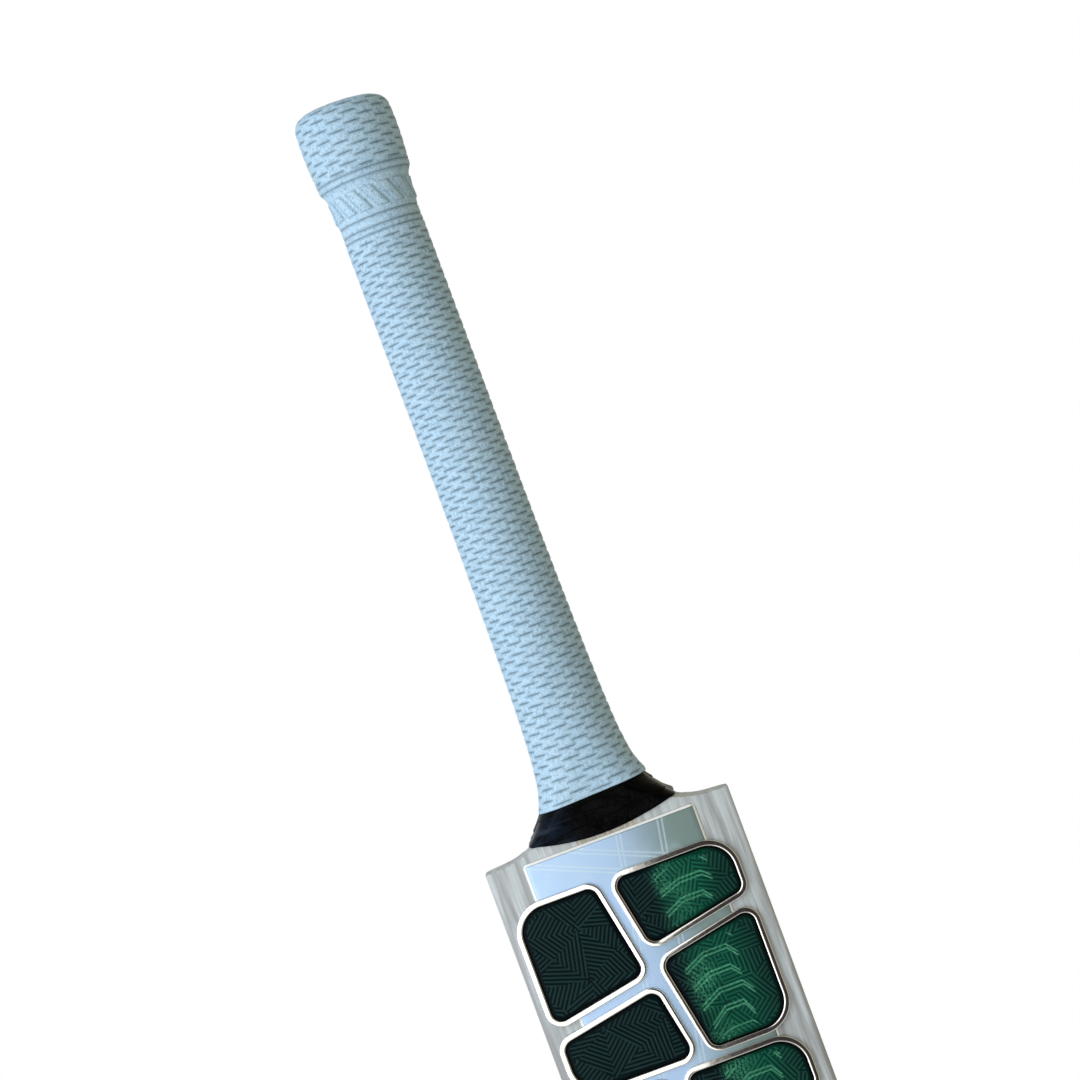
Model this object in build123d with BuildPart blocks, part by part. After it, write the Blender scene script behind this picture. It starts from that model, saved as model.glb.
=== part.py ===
"""Full size cricket bat: willow blade, spliced handle of cane strips and rubber springs, and its coverings.

The handle's axis is Z, with the top of the handle up and the toe down. The hitting face looks along -Y.
The origin is on the handle's axis, halfway between the shoulder of the blade and the top of the grip.
"""

import os
from math import cos, radians, sin

from build123d import *

os.makedirs("parts", exist_ok=True)

# Overall sizes, in millimetres
BLADE_WIDTH = 107
BLADE_LENGTH = 540
HANDLE_LENGTH = 322

# Heights along the bat. The shoulder is where the blade's edges end.
SHOULDER = -HANDLE_LENGTH / 2
TOP = HANDLE_LENGTH / 2
TOE = SHOULDER - BLADE_LENGTH

# Blade: its thickness at the edges and at the ridge of the back, at three stations
SHOULDER_EDGE, SHOULDER_RIDGE = 16, 34.5
MIDDLE_RIDGE = 50
SWELL_EDGE, SWELL_RIDGE = 38, 62
TOE_EDGE, TOE_RIDGE = 24, 30
SWELL_ABOVE_TOE = 195
TOE_OVERRUN = 1
TOE_CORNER_RADIUS = 14
TOE_CORNER_OVERRUN = 0.15
FRONT_EDGE_RADIUS = 2
BACK_EDGE_RADIUS = 5
TOE_GUARD_THICKNESS = 3

# Flank of the back: share of the way from the middle to the side, and share of the rise to the ridge
FLANK_POINTS = [(1.15, -0.03), (0.75, 0.127), (0.375, 0.495)]
SHOULDER_CURVE_TANGENTS = [(-1, 0.05), (-1, 0.4)]

# Face: bowed along its length, with its deepest point below the shoulder, and slightly round across
FACE_DEPTH = 15
BOW_RADIUS = 6500
BOW_BELOW_SHOULDER = 139
CROWN_RADIUS = 954

# Timber of the neck: height above the shoulder, half width, depth in front and behind the axis, corner radius
CHEEK_HEIGHT = 28
NECK_HEIGHT = 70
SHOULDER_RISE = 2
SHOULDER_RISE_HALF_WIDTH = 36.5
CHEEK_MIDDLE_EDGE, CHEEK_MIDDLE_RIDGE = 24, 35.5
NECK_TOP_EDGE, NECK_TOP_RIDGE = 46, 40.5
FLARE_SECTIONS = [
    (SHOULDER_RISE, SHOULDER_RISE_HALF_WIDTH, 16.5, 18, 2),
    (6.5, 29.4, 16.4, 17.8, 5),
    (11, 25.6, 16.3, 17.5, 8),
    (15, 22.6, 16.2, 17.2, 10.5),
    (23, 19.2, 16.1, 16.6, 13),
    (33, 17.5, 16, 16.2, 15),
]
TAPER_SECTIONS = [
    (33, 17.5, 16, 16.2, 15),
    (50, 16.3, 15.8, 15.9, 15.6),
    (NECK_HEIGHT, 15.65, 15.65, 15.65, 15.6),
]

# Handle core above the neck
NECK_RADIUS = 15.65
CORE_RADIUS = 14.65
CORE_TAPER_HEIGHT = 185
CORE_TAPER_TANGENTS = [(-0.02, 1), (0, 1)]

# Splice: a tapered wedge of the handle in a slot through the blade
SPLICE_DEPTH = 130
SPLICE_HALF_WIDTH = 16
SPLICE_TIP_HALF_WIDTH = 1.5

# Laminations of the handle, stacked from the face to the back and split across
SPRING_THICKNESS = 1.6
SLAB_PITCH = 7.3
STRIP_WIDTH = 9.8

# Coverings
TWINE_THICKNESS = 0.8
TWINE_ABOVE_SHOULDER = 20
TWINE_BELOW_TOP = 10
TAPE_THICKNESS = 0.7
TAPE_ABOVE_SHOULDER = 2
TAPE_TOP_ABOVE_SHOULDER = 42
TAPE_EDGE_RADIUS = 210
GRIP_WALL = 1.9
GRIP_ABOVE_SHOULDER = 15
GRIP_END_WALL = 2.2
GRIP_END_HOLE_RADIUS = 10
KNOB_RADIUS = 21
KNOB_HEIGHT = 34.5
KNOB_CORNER_RADIUS = 6.5
KNOB_SIDE_TANGENTS = [(0, -1), (-0.1, -1)]
LIP_RADIUS = 19.6
LIP_STEP = 1
BAND_HEIGHT = 15.5
BAND_RADIUS = 17.75
BAND_CURVE_TANGENTS = [(-0.3, -1), (0, -1)]
GROOVE_RADIUS = 0.45
LIP_GROOVES = [31.3]
BAND_GROOVES = [54.7, 57]

# Stickers on the face, back and edges
STICKER_THICKNESS = 0.3
BASE_STICKER_WIDTH = 76
BASE_STICKER_LENGTH = 262
BASE_STICKER_BELOW_SHOULDER = 1
BADGE_WIDTH = 97.5
BADGE_HEIGHT = 84.6
BADGE_OFFSET_X = -1.5
BADGE_BELOW_SHOULDER = 17
BADGE_GAP = 1.9
BADGE_CORNER_RADIUS = 14
TILE_CORNER_RADIUS = 7
CHANNEL_WIDTH = 3.4
CHANNEL_TILT = 11
CHANNEL_STAGGER = 9
RIM_WIDTH = 2.4
RIM_THICKNESS = 1.7
PANEL_THICKNESS = 1.2
BACK_STICKER_WIDTH = 66
BACK_STICKER_LENGTH = 210
BACK_STICKER_BELOW_SHOULDER = 62
EDGE_STICKER_WIDTH = 15
EDGE_STICKER_LENGTH = 190
EDGE_STICKER_BELOW_SHOULDER = 215

# Reach of the cutting solids past the timber
CLEAR = 40


def save(piece, name):
    """Labels a finished piece and writes it."""
    piece.part.label = name
    export_step(piece.part, f"parts/{name}.step")


# Shapes that several pieces share ---------------------------------------------------------------


def face_band(front, back):
    """The layer between two surfaces that follow the hitting face, from front to back of it along +Y.

    The surfaces turn about one axis, which lies in front of the face and is parallel to X.
    """
    axis_point = (0, -FACE_DEPTH - BOW_RADIUS, SHOULDER - BOW_BELOW_SHOULDER)
    reach = BLADE_LENGTH + CLEAR
    half_turn = reach / radians(1) / BOW_RADIUS
    start_direction = Vector(0, cos(radians(half_turn)), -sin(radians(half_turn)))
    start = Plane(axis_point, x_dir=(1, 0, 0), z_dir=Vector(1, 0, 0).cross(start_direction))
    half = BLADE_WIDTH / 2 + CLEAR
    edge_drop = half**2 / (2 * CROWN_RADIUS)
    with BuildPart() as band:
        with BuildSketch(start):
            with BuildLine():
                near = ThreePointArc(
                    (-half, BOW_RADIUS + front + edge_drop),
                    (0, BOW_RADIUS + front),
                    (half, BOW_RADIUS + front + edge_drop),
                )
                far = ThreePointArc(
                    (-half, BOW_RADIUS + back + edge_drop),
                    (0, BOW_RADIUS + back),
                    (half, BOW_RADIUS + back + edge_drop),
                )
                Line(near @ 0, far @ 0)
                Line(near @ 1, far @ 1)
            make_face()
        revolve(axis=Axis(axis_point, (1, 0, 0)), revolution_arc=2 * half_turn)
    return band.part


def face_y(height, x):
    """The depth of the hitting face at a height and a distance from the middle."""
    bow = (height - SHOULDER + BOW_BELOW_SHOULDER) ** 2 / (2 * BOW_RADIUS)
    return x**2 / (2 * CROWN_RADIUS) - FACE_DEPTH - bow


def back_section(height, edge, ridge, grow):
    """A slice of the blade, with hollow flanks that rise from the edges to a rounded ridge."""
    edge_y = face_y(height, BLADE_WIDTH / 2) + edge + grow
    ridge_y = face_y(height, 0) + ridge + grow
    half = BLADE_WIDTH / 2
    flank = [(half * along, edge_y + (ridge_y - edge_y) * rise) for along, rise in FLANK_POINTS]
    points = flank + [(0, ridge_y)] + [(-x, y) for x, y in reversed(flank)]
    front_y = -CLEAR - FACE_DEPTH
    with BuildSketch(Plane.XY.offset(height)) as section:
        with BuildLine():
            back = Spline(*points)
            Polyline(back @ 0, (points[0][0], front_y), (points[-1][0], front_y), back @ 1)
        make_face()
    return section.sketch


def timber_block(stations, grow):
    """The blade's timber between two heights: lofted through its stations, faced and edged."""
    low, high = stations[0][0], stations[-1][0]
    with BuildPart() as block:
        loft([back_section(height, edge, ridge, grow) for height, edge, ridge in stations])
        with Locations((0, 0, low)):
            Box(
                BLADE_WIDTH + 2 * grow,
                8 * CLEAR,
                high - low,
                align=(Align.CENTER, Align.CENTER, Align.MIN),
                mode=Mode.INTERSECT,
            )
        add(face_band(-4 * CLEAR, -grow), mode=Mode.SUBTRACT)
        side_edges = block.faces().filter_by(Axis.X).edges().filter_by(GeomType.LINE, reverse=True)
        upright = side_edges.filter_by(lambda edge: edge.bounding_box().size.Z > (high - low) / 2)
        front_edges, back_edges = upright.group_by(Axis.Y)[0], upright.group_by(Axis.Y)[-1]
        fillet(front_edges, FRONT_EDGE_RADIUS)
        fillet(back_edges, BACK_EDGE_RADIUS)
    return block.part


def neck_section(height, half_width, front, back, corner, grow):
    """A slice of the neck: a rounded rectangle that turns into the round of the handle."""
    with BuildSketch(Plane.XY.offset(SHOULDER + height)) as section:
        with Locations((0, (back - front) / 2)):
            RectangleRounded(2 * (half_width + grow), front + back + 2 * grow, corner + grow)
    return section.sketch


def neck_loft(grow):
    """The timber between the shoulder and the round of the handle, grown by a thickness of covering."""
    with BuildPart() as neck:
        loft([neck_section(*row, grow) for row in FLARE_SECTIONS])
        loft([neck_section(*row, grow) for row in TAPER_SECTIONS], ruled=True)
    return neck.part


def round_handle(grow, top):
    """The round of the handle above the neck, grown by a thickness of covering, up to a height."""
    with BuildPart() as handle:
        with BuildSketch(Plane.XZ):
            with BuildLine():
                foot = (NECK_RADIUS + grow, SHOULDER + NECK_HEIGHT)
                waist = (CORE_RADIUS + grow, SHOULDER + CORE_TAPER_HEIGHT)
                swell = Spline(foot, waist, tangents=CORE_TAPER_TANGENTS)
                Polyline(swell @ 1, (CORE_RADIUS + grow, top), (0, top), (0, foot[1]), foot)
            make_face()
        revolve(axis=Axis.Z)
    return handle.part


def blade_outline():
    """The blade's outline seen from the face, from its toe to the foot of the neck."""
    half = BLADE_WIDTH / 2
    low = TOE + TOE_CORNER_RADIUS
    corner_x = half + TOE_CORNER_OVERRUN
    with BuildPart() as column:
        with BuildSketch(Plane.XZ):
            with BuildLine():
                right = Spline(
                    (half, SHOULDER),
                    (SHOULDER_RISE_HALF_WIDTH, SHOULDER + SHOULDER_RISE),
                    tangents=SHOULDER_CURVE_TANGENTS,
                )
                Line(right @ 1, (0, SHOULDER + SHOULDER_RISE))
                Polyline((half, SHOULDER), (half + CLEAR, SHOULDER), (half + CLEAR, low), (corner_x, low))
                corner = JernArc((corner_x, low), (0, -1), TOE_CORNER_RADIUS, -90)
                Line(corner @ 1, (0, TOE))
                mirror(about=Plane.YZ)
            make_face()
        extrude(amount=4 * CLEAR, both=True)
    return column.part


# Timber: the whole shape of blade, neck and handle, before it is split into willow and cane ------

blade_stations = [
    (TOE - TOE_OVERRUN, TOE_EDGE, TOE_RIDGE),
    (TOE + SWELL_ABOVE_TOE / 3, (SWELL_EDGE + TOE_EDGE) / 2, (SWELL_RIDGE + TOE_RIDGE) / 2),
    (TOE + SWELL_ABOVE_TOE, SWELL_EDGE, SWELL_RIDGE),
    ((TOE + SWELL_ABOVE_TOE + SHOULDER) / 2, (SWELL_EDGE + SHOULDER_EDGE) / 2, MIDDLE_RIDGE),
    (SHOULDER + SHOULDER_RISE, SHOULDER_EDGE, SHOULDER_RIDGE),
]
neck_stations = [
    (SHOULDER + SHOULDER_RISE, SHOULDER_EDGE, SHOULDER_RIDGE),
    (SHOULDER + CHEEK_HEIGHT / 2, CHEEK_MIDDLE_EDGE, CHEEK_MIDDLE_RIDGE),
    (SHOULDER + NECK_HEIGHT, NECK_TOP_EDGE, NECK_TOP_RIDGE),
]


def neck_envelope(grow):
    """The neck with a covering, from the shoulder to the round of the handle."""
    with BuildPart() as envelope:
        add(neck_loft(grow))
        add(timber_block(neck_stations, grow), mode=Mode.INTERSECT)
    return envelope.part


def whole_timber(grow, top):
    """Blade, neck and handle in one, grown above the shoulder by a thickness of covering."""
    with BuildPart() as timber:
        add(round_handle(grow, top))
        add(neck_envelope(grow))
    return timber.part


def slab(low, high):
    """A block that takes in everything between two heights."""
    with BuildPart() as layer:
        with Locations((0, 0, low)):
            Box(
                8 * CLEAR,
                8 * CLEAR,
                high - low,
                align=(Align.CENTER, Align.CENTER, Align.MIN),
            )
    return layer.part


CORE_TOP = TOP - GRIP_END_WALL
TWINE_BOTTOM = SHOULDER + TWINE_ABOVE_SHOULDER
TWINE_TOP = TOP - TWINE_BELOW_TOP

handle_timber = whole_timber(0, CORE_TOP)
twine_envelope = whole_timber(TWINE_THICKNESS, TWINE_TOP)

with BuildPart() as blade_timber:
    add(timber_block(blade_stations, 0))
    add(blade_outline(), mode=Mode.INTERSECT)

with BuildPart() as bat_timber:
    add(blade_timber.part)
    add(handle_timber)

# The splice: everything above the cheeks is handle, and below them it tapers into the blade
with BuildPart() as splice:
    with BuildSketch(Plane.XZ):
        with BuildLine():
            Polyline(
                (-SPLICE_TIP_HALF_WIDTH, SHOULDER - SPLICE_DEPTH),
                (SPLICE_TIP_HALF_WIDTH, SHOULDER - SPLICE_DEPTH),
                (SPLICE_HALF_WIDTH, SHOULDER + CHEEK_HEIGHT),
                (2 * CLEAR, SHOULDER + CHEEK_HEIGHT),
                (2 * CLEAR, TOP + CLEAR),
                (-2 * CLEAR, TOP + CLEAR),
                (-2 * CLEAR, SHOULDER + CHEEK_HEIGHT),
                (-SPLICE_HALF_WIDTH, SHOULDER + CHEEK_HEIGHT),
                close=True,
            )
        make_face()
    extrude(amount=4 * CLEAR, both=True)

# Willow blade ------------------------------------------------------------------------------------

with BuildPart() as blade:
    add(bat_timber.part)
    add(splice.part, mode=Mode.SUBTRACT)
    split(bisect_by=Plane.XY.offset(TOE + TOE_GUARD_THICKNESS), keep=Keep.TOP)
save(blade, "blade")

# Rubber toe guard, glued under the toe -----------------------------------------------------------

with BuildPart() as toe_guard:
    add(blade_timber.part)
    split(bisect_by=Plane.XY.offset(TOE + TOE_GUARD_THICKNESS), keep=Keep.BOTTOM)
save(toe_guard, "toe_guard")

# Handle core: four slabs of cane, each of three strips, with a rubber spring between two slabs ----

with BuildPart() as core:
    add(bat_timber.part)
    add(splice.part, mode=Mode.INTERSECT)


def core_slice(x_low, x_high, y_low, y_high):
    """The part of the handle core between two planes across it and two from front to back."""
    with BuildPart() as cut:
        add(core.part)
        with Locations(((x_low + x_high) / 2, (y_low + y_high) / 2, 0)):
            Box(x_high - x_low, y_high - y_low, 3 * HANDLE_LENGTH, mode=Mode.INTERSECT)
    return cut


reach = 2 * CLEAR
spring_middles = [("front", -SLAB_PITCH), ("middle", 0), ("back", SLAB_PITCH)]
for place, middle in spring_middles:
    half = SPRING_THICKNESS / 2
    save(core_slice(-reach, reach, middle - half, middle + half), f"rubber_spring_{place}")

spring_faces = [
    middle + side * SPRING_THICKNESS / 2 for _, middle in spring_middles for side in (-1, 1)
]
slab_faces = [-reach, *spring_faces, reach]
slab_names = ["front", "mid_front", "mid_back", "back"]
strip_faces = [-reach, -STRIP_WIDTH / 2, STRIP_WIDTH / 2, reach]
strip_names = ["left", "centre", "right"]
for row, slab_name in enumerate(slab_names):
    y_low, y_high = slab_faces[2 * row : 2 * row + 2]
    for column, strip_name in enumerate(strip_names):
        x_low, x_high = strip_faces[column : column + 2]
        save(core_slice(x_low, x_high, y_low, y_high), f"cane_{slab_name}_{strip_name}")

# Twine binding, wound over the handle and the tips of the willow cheeks --------------------------

with BuildPart() as twine_binding:
    add(twine_envelope)
    add(handle_timber, mode=Mode.SUBTRACT)
    add(slab(TWINE_BOTTOM, TWINE_TOP), mode=Mode.INTERSECT)
save(twine_binding, "twine_binding")

# Tape over the foot of the twine and the shoulder, with its lower edge drooping over the face ----

with BuildPart() as tape_reach:
    with BuildSketch(Plane.XZ):
        with Locations((0, SHOULDER + TAPE_ABOVE_SHOULDER + TAPE_EDGE_RADIUS)):
            Circle(TAPE_EDGE_RADIUS)
    extrude(amount=2 * CLEAR, both=True)

with BuildPart() as shoulder_tape:
    add(neck_envelope(TWINE_THICKNESS + TAPE_THICKNESS))
    add(slab(SHOULDER, SHOULDER + TAPE_TOP_ABOVE_SHOULDER), mode=Mode.INTERSECT)
    add(tape_reach.part, mode=Mode.INTERSECT)
    add(bat_timber.part, mode=Mode.SUBTRACT)
    add(twine_binding.part, mode=Mode.SUBTRACT)
save(shoulder_tape, "shoulder_tape")

# Rubber grip, rolled over the handle, with a knob and a band at its top --------------------------

grip_growth = TWINE_THICKNESS + GRIP_WALL
grip_radius = CORE_RADIUS + grip_growth
knob_foot = TOP - KNOB_HEIGHT
band_foot = knob_foot - BAND_HEIGHT

with BuildPart() as knob_shape:
    with BuildSketch(Plane.XZ):
        with BuildLine():
            shelf = Line((0, TOP), (KNOB_RADIUS - KNOB_CORNER_RADIUS, TOP))
            corner = JernArc(shelf @ 1, (1, 0), KNOB_CORNER_RADIUS, -90)
            side = Spline(corner @ 1, (LIP_RADIUS, knob_foot), tangents=KNOB_SIDE_TANGENTS)
            step = Line(side @ 1, (LIP_RADIUS - LIP_STEP, knob_foot - LIP_STEP))
            band = Spline(
                step @ 1,
                (BAND_RADIUS, knob_foot - BAND_HEIGHT / 2),
                tangents=BAND_CURVE_TANGENTS,
            )
            Polyline(
                band @ 1,
                (BAND_RADIUS, band_foot),
                (grip_radius, band_foot - LIP_STEP),
                (0, band_foot - LIP_STEP),
                shelf @ 0,
            )
        make_face()
    revolve(axis=Axis.Z)

with BuildPart() as grip:
    add(whole_timber(grip_growth, band_foot))
    add(knob_shape.part)
    add(slab(SHOULDER + GRIP_ABOVE_SHOULDER, TOP), mode=Mode.INTERSECT)
    with BuildSketch(Plane.XZ):
        for radius, depths in ((LIP_RADIUS + LIP_STEP / 2, LIP_GROOVES), (grip_radius, BAND_GROOVES)):
            with Locations([(radius, TOP - depth) for depth in depths]):
                Circle(GROOVE_RADIUS)
    revolve(axis=Axis.Z, mode=Mode.SUBTRACT)
    add(twine_binding.part, mode=Mode.SUBTRACT)
    add(shoulder_tape.part, mode=Mode.SUBTRACT)
    add(bat_timber.part, mode=Mode.SUBTRACT)
    with Locations((0, 0, TOP)):
        Cylinder(GRIP_END_HOLE_RADIUS, 4 * GRIP_END_WALL, mode=Mode.SUBTRACT)
save(grip, "grip")

# Base sticker, pressed onto the face below the shoulder ------------------------------------------

with BuildPart() as base_sticker:
    with BuildSketch(Plane.XZ):
        with Locations((0, SHOULDER - BASE_STICKER_BELOW_SHOULDER)):
            Rectangle(BASE_STICKER_WIDTH, BASE_STICKER_LENGTH, align=(Align.CENTER, Align.MAX))
    extrude(amount=2 * CLEAR)
    add(face_band(-STICKER_THICKNESS, 0), mode=Mode.INTERSECT)
save(base_sticker, "base_sticker")

# Two raised badges on the face, each of four tiles: a chrome rim round a printed panel -----------


def badge_tiles(top):
    """The outlines of a badge's tiles: a rounded rectangle cut by slanting channels, staggered like bricks."""
    middle = (BADGE_OFFSET_X, top - BADGE_HEIGHT / 2)
    half = BADGE_WIDTH / 2
    with BuildSketch() as tiles:
        with Locations(middle):
            Rectangle(BADGE_WIDTH, BADGE_HEIGHT)
            Rectangle(CHANNEL_WIDTH, 2 * BADGE_HEIGHT, rotation=CHANNEL_TILT, mode=Mode.SUBTRACT)
            with Locations((-half / 2, -CHANNEL_STAGGER), (half / 2, CHANNEL_STAGGER)):
                Rectangle(half + 1, CHANNEL_WIDTH, rotation=CHANNEL_TILT, mode=Mode.SUBTRACT)
        outer = tiles.vertices().filter_by(
            lambda v: abs(v.X - middle[0]) > half - 1 and abs(v.Y - middle[1]) > BADGE_HEIGHT / 2 - 1
        )
        inner = [vertex for vertex in tiles.vertices() if vertex not in outer]
        fillet(outer, BADGE_CORNER_RADIUS)
        fillet(inner, TILE_CORNER_RADIUS)
    rows = tiles.faces().sort_by(Axis.X)
    left, right = rows[:2].sort_by(Axis.Y), rows[2:].sort_by(Axis.Y)
    return {
        "bottom_left": left[0],
        "top_left": left[1],
        "bottom_right": right[0],
        "top_right": right[1],
    }


badge_tops = {
    "upper_badge": SHOULDER - BADGE_BELOW_SHOULDER,
    "lower_badge": SHOULDER - BADGE_BELOW_SHOULDER - BADGE_HEIGHT - BADGE_GAP,
}
for badge_name, badge_top in badge_tops.items():
    for tile_name, tile in badge_tiles(badge_top).items():
        with BuildPart() as rim:
            with BuildSketch(Plane.XZ):
                add(tile)
                offset(tile, -RIM_WIDTH, mode=Mode.SUBTRACT)
            extrude(amount=2 * CLEAR)
            add(face_band(-RIM_THICKNESS, 0), mode=Mode.INTERSECT)
            add(base_sticker.part, mode=Mode.SUBTRACT)
        save(rim, f"{badge_name}_rim_{tile_name}")
        with BuildPart() as panel:
            with BuildSketch(Plane.XZ):
                offset(tile, -RIM_WIDTH)
            extrude(amount=2 * CLEAR)
            add(face_band(-PANEL_THICKNESS, 0), mode=Mode.INTERSECT)
            add(base_sticker.part, mode=Mode.SUBTRACT)
        save(panel, f"{badge_name}_panel_{tile_name}")

# Back sticker, wrapped over the ridge ------------------------------------------------------------

with BuildPart() as back_reach:
    with BuildSketch(Plane.XZ):
        with Locations((0, SHOULDER - BACK_STICKER_BELOW_SHOULDER - BACK_STICKER_LENGTH / 2)):
            RectangleRounded(BACK_STICKER_WIDTH, BACK_STICKER_LENGTH, BACK_EDGE_RADIUS)
    extrude(amount=-4 * CLEAR)

with BuildPart() as back_sticker:
    add(timber_block(blade_stations, STICKER_THICKNESS))
    add(back_reach.part, mode=Mode.INTERSECT)
    add(timber_block(blade_stations, 0), mode=Mode.SUBTRACT)
save(back_sticker, "back_sticker")

# Edge stickers, one on each side of the blade ----------------------------------------------------

edge_top = SHOULDER - EDGE_STICKER_BELOW_SHOULDER
edge_middle = edge_top - EDGE_STICKER_LENGTH / 2
edge_y = face_y(edge_middle, BLADE_WIDTH / 2) + (SWELL_EDGE + SHOULDER_EDGE) / 4
for side, side_name in ((-1, "left"), (1, "right")):
    with BuildPart() as edge_sticker:
        with BuildSketch(Plane.YZ.offset(side * BLADE_WIDTH / 2)):
            with Locations((edge_y, edge_middle)):
                RectangleRounded(EDGE_STICKER_WIDTH, EDGE_STICKER_LENGTH, EDGE_STICKER_WIDTH / 5)
        extrude(amount=side * STICKER_THICKNESS)
    save(edge_sticker, f"edge_sticker_{side_name}")
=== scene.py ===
import math

import bmesh
import bpy
import numpy as np
from mathutils import Matrix, Vector
from mathutils.geometry import delaunay_2d_cdt


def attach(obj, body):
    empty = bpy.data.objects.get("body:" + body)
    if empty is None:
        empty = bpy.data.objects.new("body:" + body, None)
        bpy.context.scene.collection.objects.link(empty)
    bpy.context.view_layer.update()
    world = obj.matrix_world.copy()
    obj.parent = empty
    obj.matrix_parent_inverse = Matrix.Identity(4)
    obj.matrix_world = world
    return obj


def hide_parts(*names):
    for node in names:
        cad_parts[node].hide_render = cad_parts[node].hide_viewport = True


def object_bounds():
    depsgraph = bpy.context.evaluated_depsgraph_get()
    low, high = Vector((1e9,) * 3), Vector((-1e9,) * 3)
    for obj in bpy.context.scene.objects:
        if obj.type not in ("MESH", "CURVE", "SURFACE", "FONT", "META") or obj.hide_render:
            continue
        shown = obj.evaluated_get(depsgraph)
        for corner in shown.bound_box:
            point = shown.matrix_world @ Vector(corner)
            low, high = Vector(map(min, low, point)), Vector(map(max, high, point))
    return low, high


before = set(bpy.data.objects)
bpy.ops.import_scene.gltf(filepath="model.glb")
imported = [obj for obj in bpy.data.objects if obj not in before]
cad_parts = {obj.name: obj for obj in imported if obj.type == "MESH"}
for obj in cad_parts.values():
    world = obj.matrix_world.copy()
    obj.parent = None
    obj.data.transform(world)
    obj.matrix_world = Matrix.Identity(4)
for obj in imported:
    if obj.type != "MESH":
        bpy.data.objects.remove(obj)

cad_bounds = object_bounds()

# WILLOW BLADE -------------------------------------------------------------------------------------
# One cleft of pale willow, pressed on its face, planed to a ridged back and lightly polished.
# Its grain runs straight down the blade. The handle is glued into a slot in its shoulders.

WILLOW_PALE = (0.62, 0.685, 0.735, 1)
WILLOW_GREY = (0.30, 0.325, 0.345, 1)
WILLOW_BROWN = (0.21, 0.20, 0.205, 1)
BROAD_GRAIN = {"stretch": (1, 1, 0.035), "scale": 62, "detail": 2}
FINE_GRAIN = {"stretch": (1, 1, 0.02), "scale": 420, "detail": 3, "roughness": 0.6}
SMUDGES = {"stretch": (1, 1, 0.12), "scale": 42, "detail": 3}
FLECKS = {"stretch": (1, 1, 0.06), "scale": 330, "detail": 3, "roughness": 0.65}
FINE_STRENGTH = 0.55
BROAD_STRENGTH = 0.65
FLECK_STRENGTH = 0.5
GRAIN_DEPTH = 0.00022


class Wire:
    """A node's output, which adds a Math node when it stands in a sum."""

    def __init__(self, paint, socket):
        self.paint = paint
        self.socket = socket

    def math(self, operation, first, second):
        return self.paint.node("Math", {"operation": operation}, [first, second])

    def __add__(self, other):
        return self.math("ADD", self, other)

    __radd__ = __add__

    def __sub__(self, other):
        return self.math("SUBTRACT", self, other)

    def __rsub__(self, other):
        return self.math("SUBTRACT", other, self)

    def __mul__(self, other):
        return self.math("MULTIPLY", self, other)

    __rmul__ = __mul__

    def __truediv__(self, other):
        return self.math("DIVIDE", self, other)

    def __gt__(self, other):
        return self.math("GREATER_THAN", self, other)

    def __lt__(self, other):
        return self.math("LESS_THAN", self, other)

    def __abs__(self):
        return self.math("ABSOLUTE", self, 0)

    def ramp(self, low, high):
        """0 below low, 1 above high, and smooth between them."""
        settings = {"interpolation_type": "SMOOTHSTEP"}
        return self.paint.node("MapRange", settings, {"Value": self, "From Min": low, "From Max": high})


class Paint:
    """Nodes round one shader, which is a material's unless told otherwise. Its plain values are set here."""

    def __init__(self, name, store=bpy.data.materials, shader="Principled BSDF", place="Object", **plain):
        self.material = store.new(name)
        self.material.use_nodes = True
        self.tree = self.material.node_tree
        self.shader = self.tree.nodes[shader]
        self.place = self.node("TexCoord", output=place)
        for key, value in plain.items():
            self.shader.inputs[key.replace("_", " ")].default_value = value

    def node(self, kind, settings=None, inputs=None, output=0):
        """Adds a node: its settings first, then the values or links of its sockets."""
        made = self.tree.nodes.new("ShaderNode" + kind)
        for key, value in (settings or {}).items():
            setattr(made, key, value)
        pairs = inputs.items() if isinstance(inputs, dict) else enumerate(inputs or [])
        for key, value in pairs:
            self.feed(made.inputs[key], value)
        return Wire(self, made.outputs[output])

    def feed(self, socket, value):
        if isinstance(value, Wire):
            self.tree.links.new(value.socket, socket)
        else:
            socket.default_value = value

    def axes(self):
        """The place on the bat across, in depth and along, in millimetres."""
        millimetres = self.node("VectorMath", {"operation": "SCALE"}, {0: self.place, "Scale": 1000})
        parts = self.tree.nodes.new("ShaderNodeSeparateXYZ")
        self.feed(parts.inputs[0], millimetres)
        return [Wire(self, output) for output in parts.outputs]

    def noise(self, stretch, scale, detail=3, roughness=0.5):
        """Noise on the bat's own place, stretched along each axis."""
        turned = self.node("Mapping", None, {"Vector": self.place, "Scale": stretch})
        return self.node(
            "TexNoise", None, {"Vector": turned, "Scale": scale, "Detail": detail, "Roughness": roughness}
        )

    def mix(self, factor, first, second):
        """A colour between two colours."""
        return self.node("Mix", {"data_type": "RGBA"}, {0: factor, 6: first, 7: second}, output=2)

    def attribute(self, name):
        return self.node("Attribute", {"attribute_name": name}, output="Fac")

    def bump(self, height, distance, strength):
        """A normal from a height from 0 to 1, of a depth in metres."""
        return self.node("Bump", None, {"Height": height, "Distance": distance, "Strength": strength})

    def math_min(self, first, second):
        return self.node("Math", {"operation": "MINIMUM"}, [first, second])

    def finish(self, **links):
        """Feeds the shader's sockets and gives the material back."""
        for key, value in links.items():
            self.feed(self.shader.inputs[key.replace("_", " ")], value)
        return self.material


def dress(node, material):
    """Gives a CAD node its material."""
    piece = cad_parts[node]
    for slot in piece.material_slots:
        slot.material = material


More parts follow.
